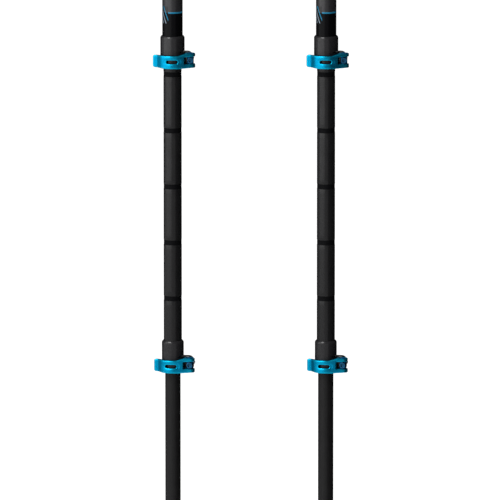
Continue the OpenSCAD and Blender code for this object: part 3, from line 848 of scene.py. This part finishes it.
def foam_finish():
    """Closed-cell foam: fine pores with painted shade inside them, a dusty sheen and slightly paler ridges."""
    foam = (0.012, 0.012, 0.0125)
    f = Finish("eva_foam", foam, Specular_IOR_Level=0.1, Sheen_Weight=0.05, Sheen_Roughness=0.6)
    pore_pits_and_shade = f.ramp(f.cells(0.55), 0.05, 0.4)
    # Painted shade: the pores are darkened in the colour, and the same pattern dents them as pits.
    f.set("Base Color", f.mix(pore_pits_and_shade, tuple(0.45 * c for c in foam), f.vary(foam, f.noise(6, 3), 0.8, 1.25)))
    f.set("Roughness", f.ramp(f.noise(1.5), 0.3, 0.7, 0.82, 0.92))
    f.bump(pore_pits_and_shade, 0.10, 0.7, after=f.bump(f.noise(2.5, 3), 0.12, 0.4))
    return f.material


def rubber_finish():
    """Moulded grip rubber with a fine pattern of raised dots."""
    rubber = (0.0085, 0.0085, 0.0088)
    f = Finish("grip_rubber", rubber, Specular_IOR_Level=0.14, Sheen_Weight=0.03)
    columns = f.wave(f.math("MULTIPLY", f.angle(), 56.0))
    rows = f.wave(f.math("MULTIPLY", f.z, 2 * math.pi / 1.9))
    dots = f.ramp(f.math("MULTIPLY", columns, rows), 0.35, 0.75)
    ridge = f.ramp(f.edge(), 0.03, 0.3)
    f.set("Base Color", f.mix(ridge, f.vary(rubber, f.noise(8, 3)), tuple(1.9 * c for c in rubber)))
    f.set("Roughness", f.ramp(dots, 0, 1, 0.72, 0.58))
    f.bump(dots, 0.14, 0.6, after=f.bump(f.noise(0.5, 3), 0.03, 0.5))
    return f.material


def woven_finish(name, colour, pitch):
    """Woven cloth: crossing threads over the surface, with fuzz and uneven dye."""
    roughness = 0.8
    f = Finish(name, colour, Specular_IOR_Level=0.1, Sheen_Weight=0.08, Sheen_Roughness=0.5)
    along = f.math("ADD", f.x, f.z)
    across = f.wave(f.math("MULTIPLY", f.y, 2 * math.pi / pitch))
    twill = f.wave(f.math("ADD", f.math("MULTIPLY", along, 2 * math.pi / pitch),
                          f.math("MULTIPLY", f.y, math.pi / pitch)))
    threads = f.math("MULTIPLY_ADD", across, 0.45, f.math("MULTIPLY", twill, 0.55))
    shade = f.math("MULTIPLY_ADD", threads, 0.6, f.math("MULTIPLY", f.noise(2.5, 3), 0.4))
    f.set("Base Color", f.vary(colour, shade, 0.4, 1.7))
    f.set("Roughness", f.ramp(threads, 0, 1, roughness + 0.08, roughness - 0.05))
    f.bump(threads, 0.16, 0.8, after=f.bump(f.noise(0.25, 2), 0.05, 0.5))
    return f.material


# ---- The poles ----


def place(mesh, piece, body, slot, material, mirror=False, replaces=True):
    """Puts a mesh at both poles' axes, in place of the CAD nodes named piece, and returns the two objects."""
    mesh.materials.append(material)
    placed = []
    for side in SIDES:
        data = mirrored(mesh) if mirror and side == "right" else mesh
        thing = bpy.data.objects.new(f"{side}_{piece}_look", data)
        bpy.context.scene.collection.objects.link(thing)
        thing.location.x = AXIS_X[side] * MM
        if replaces:
            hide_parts(f"{side}_{piece}")
        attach(thing, f"{side}_{body}")
        placed.append(thing)
    return placed


def build_clamps():
    plastic = moulded_finish("clamp_plastic", (0.0048, 0.0046, 0.0052), 0.29, specular=0.15)
    blue = anodised_finish()
    along_x, along_y = (0.05, 1, 1), (1, 0.05, 1)
    steels = {
        "barrel": metal_finish("barrel_blue", (0.0006, 0.05, 0.13), 0.30, tint=(0.1, 0.5, 1.0)),
        # The screw's dark steel is painted blue: a painted reflection of the blue lever's fork around it.
        "tension_screw": metal_finish("screw_steel", (0.01, 0.05, 0.10), 0.32, along_y, (0.3, 0.6, 1.0)),
        "nut": metal_finish("nut_steel", (0.30, 0.305, 0.31), 0.35, along_y),
        "cam_pad": metal_finish("pad_steel", (0.10, 0.10, 0.105), 0.38, along_x)}
    slots = {"barrel": "barrel_steel", "tension_screw": "screw_steel", "nut": "steel", "cam_pad": "pad_steel"}
    for level, body in (("upper", "upper"), ("lower", "mid")):
        place(collar(level), f"{level}_collar", body, "clamp_plastic", plastic)
        place(lever(level), f"{level}_lever", f"{level}_lever", "blue_anodised", blue)
        for piece, steel in steels.items():
            on = f"{level}_screw" if piece == "tension_screw" else body
            place(small_part(level, piece), f"{level}_{piece}", on, slots[piece], steel)


def build_tubes():
    marks = [CLAMP_Z["upper"] - FIRST_MARK - MARK_PITCH * k for k in MARKS]
    black = upper_tube_finish("upper_tube_black", (0.0012, 0.0012, 0.0015), 0.03, 0.22)
    grey = upper_tube_finish("upper_tube_grey", (0.010, 0.0097, 0.0107), 0.19, 0.30)
    upper, mid = tube("upper", paint_z=RING_Z), tube("mid", marks)
    place(upper, "upper_tube", "upper", "upper_tube", black)
    paint_bands(upper, grey, [(RING_Z, POLE_TOP)])
    place(mid, "mid_tube", "mid", "mid_tube", mid_tube_finish())
    paint_bands(mid, mark_finish(), [(z - MARK_H / 2, z + MARK_H / 2) for z in marks])
    place(tube("lower"), "lower_tube", "lower", "lower_tube", lower_tube_finish())
    bush = moulded_finish("bush_plastic", (0.06, 0.06, 0.065), 0.5, specular=0.2)
    for side in SIDES:
        for level in ("mid", "lower"):
            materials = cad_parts[f"{side}_{level}_bush"].data.materials
            materials.clear()
            materials.append(bush)


def build_handles():
    place(grip(), "grip", "upper", "grip_rubber", rubber_finish(), mirror=True)
    cap = moulded_finish("grip_cap_plastic", (0.005, 0.005, 0.0055), 0.34, grain=0.4, specular=0.25)
    place(grip_cap(), "grip_cap", "upper", "grip_cap", cap)
    for sleeve in place(foam_sleeve(), "grip_sleeve", "upper", "foam", foam_finish()):
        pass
    pin = metal_finish("pin_steel", (0.30, 0.305, 0.31), 0.3, (1, 0.05, 1))
    pin_field = Field("left_strap_pin", VOXEL["pin"]).round_edges(SOFTENING["pin"])
    pin_mesh = pin_field.mesh("strap_pin", wear_and_painted_light_reach=0.4)
    place(pin_mesh, "strap_pin", "upper", "steel", pin)
    wedge_plastic = moulded_finish("wedge_plastic", (0.002, 0.10, 0.19), 0.42, specular=0.2)
    place(wedge(), "strap_wedge", "wedge", "blue_plastic", wedge_plastic, mirror=True)


def build_wrist_loops():
    webbing = woven_finish("webbing", (0.009, 0.009, 0.0098), 0.9)
    lining = woven_finish("strap_lining", (0.028, 0.0285, 0.03), 0.7)
    thread = woven_finish("thread", (0.002, 0.12, 0.21), 0.35)
    ribbon, length = strap()
    straps = place(ribbon, "strap", "upper", "webbing", webbing, mirror=True)
    pads = place(wrist_pad(), "wrist_pad", "upper", "strap_lining", lining, mirror=True)
    threads = place(stitches(), "strap_stitches", "upper", "webbing", thread, mirror=True, replaces=False)


def build_tips():
    ferrule_plastic = moulded_finish("tip_plastic", (0.0065, 0.0065, 0.0068), 0.45, specular=0.15)
    carbide = metal_finish("carbide", (0.17, 0.175, 0.18), 0.42)
    basket_plastic = moulded_finish("basket_plastic", (0.0055, 0.0055, 0.0058), 0.42, specular=0.15)
    place(ferrule(), "ferrule", "lower", "tip_plastic", ferrule_plastic)
    place(carbide_point(), "carbide_point", "lower", "carbide", carbide)
    place(basket(), "basket", "lower", "basket_plastic", basket_plastic)


# ---- Studio ----
ELEVATION = math.radians(10.0)
# In metres
DISTANCE, TARGET_Z, CAMERA_X, FLOOR_Z = 10.0, 0.4769, 0.0006, -0.2
# In millimetres
LENS, SENSOR = 816.8, 36.0


def add_camera():
    """A long lens from slightly above, level with the middle tubes."""
    camera = bpy.data.objects.new("camera", bpy.data.cameras.new("camera"))
    bpy.context.scene.collection.objects.link(camera)
    camera.data.lens, camera.data.sensor_width = LENS, SENSOR
    back, up = DISTANCE * math.cos(ELEVATION), DISTANCE * math.sin(ELEVATION)
    camera.location = (CAMERA_X, -back, TARGET_Z + up)
    camera.rotation_euler = (math.pi / 2 - ELEVATION, 0, 0)
    bpy.context.scene.camera = camera


def add_light(name, kind, energy, position, target, **settings):
    light = bpy.data.objects.new(name, bpy.data.lights.new(name, kind))
    bpy.context.scene.collection.objects.link(light)
    light.data.energy = energy
    for key, value in settings.items():
        setattr(light.data, key, value)
    light.location = position
    light.rotation_euler = (Vector(target) - Vector(position)).to_track_quat("-Z", "Y").to_euler()
    light.visible_camera = False


def add_floor():
    """A wide, plain, pale floor, below the tips' lowest reach."""
    half, cells = 40.0, 8
    steps = np.linspace(-half, half, cells + 1) / MM
    grid_x, grid_y = np.meshgrid(steps, steps, indexing="ij")
    points = np.stack([grid_x, grid_y, np.zeros_like(grid_x)], -1).reshape(-1, 3)
    i, j = np.meshgrid(np.arange(cells), np.arange(cells), indexing="ij")
    base = i * (cells + 1) + j
    quads = np.stack([base, base + cells + 1, base + cells + 2, base + 1], -1).reshape(-1, 4)
    floor = bpy.data.objects.new("floor", make_mesh("floor", points, quads))
    bpy.context.scene.collection.objects.link(floor)
    floor.location.z = FLOOR_Z
    pale = Finish("floor", (0.9, 0.9, 0.9), Roughness=0.9, Specular_IOR_Level=0.0)
    floor.data.materials.append(pale.material)


def add_flags():
    """Two black flags beside the poles, seen only in reflections: they draw a dark line down each side."""
    black = Finish("flag", (0.002, 0.002, 0.002), Roughness=0.9, Specular_IOR_Level=0.0)
    out, far, top = 340, 2600, 1800
    for side, near in ((-1, 120), (1, -600)):
        points = [(side * out, near, 0), (side * out, far, 0), (side * out, far, top),
                  (side * out, near, top)]
        flag = bpy.data.objects.new("flag", make_mesh("flag", points, [(0, 1, 2, 3)]))
        bpy.context.scene.collection.objects.link(flag)
        flag.data.materials.append(black.material)
        flag.visible_camera = flag.visible_diffuse = flag.visible_shadow = flag.visible_transmission = False


def add_studio():
    """A soft key from the left and front, and a high, soft sun that whitens the floor."""
    add_floor()
    add_flags()
    add_light("sun", "SUN", 3.5, (-2.2, -2.0, 4.0), (0, 0, 0.4), angle=math.radians(25))
    add_light("key", "AREA", 52, (-1.103, -0.862, 1.1), (0, 0, 0.6), shape="RECTANGLE", size=2.4, size_y=1.9)
    world = bpy.data.worlds.new("studio")
    world.use_nodes = True
    background = world.node_tree.nodes["Background"]
    background.inputs["Color"].default_value = (1, 1, 1, 1)
    background.inputs["Strength"].default_value = 0.35
    bpy.context.scene.world = world
    bpy.context.scene.view_settings.view_transform = "Standard"


build_tubes()
build_clamps()
build_handles()
build_wrist_loops()
build_tips()
add_camera()
add_studio()

bpy.context.view_layer.update()
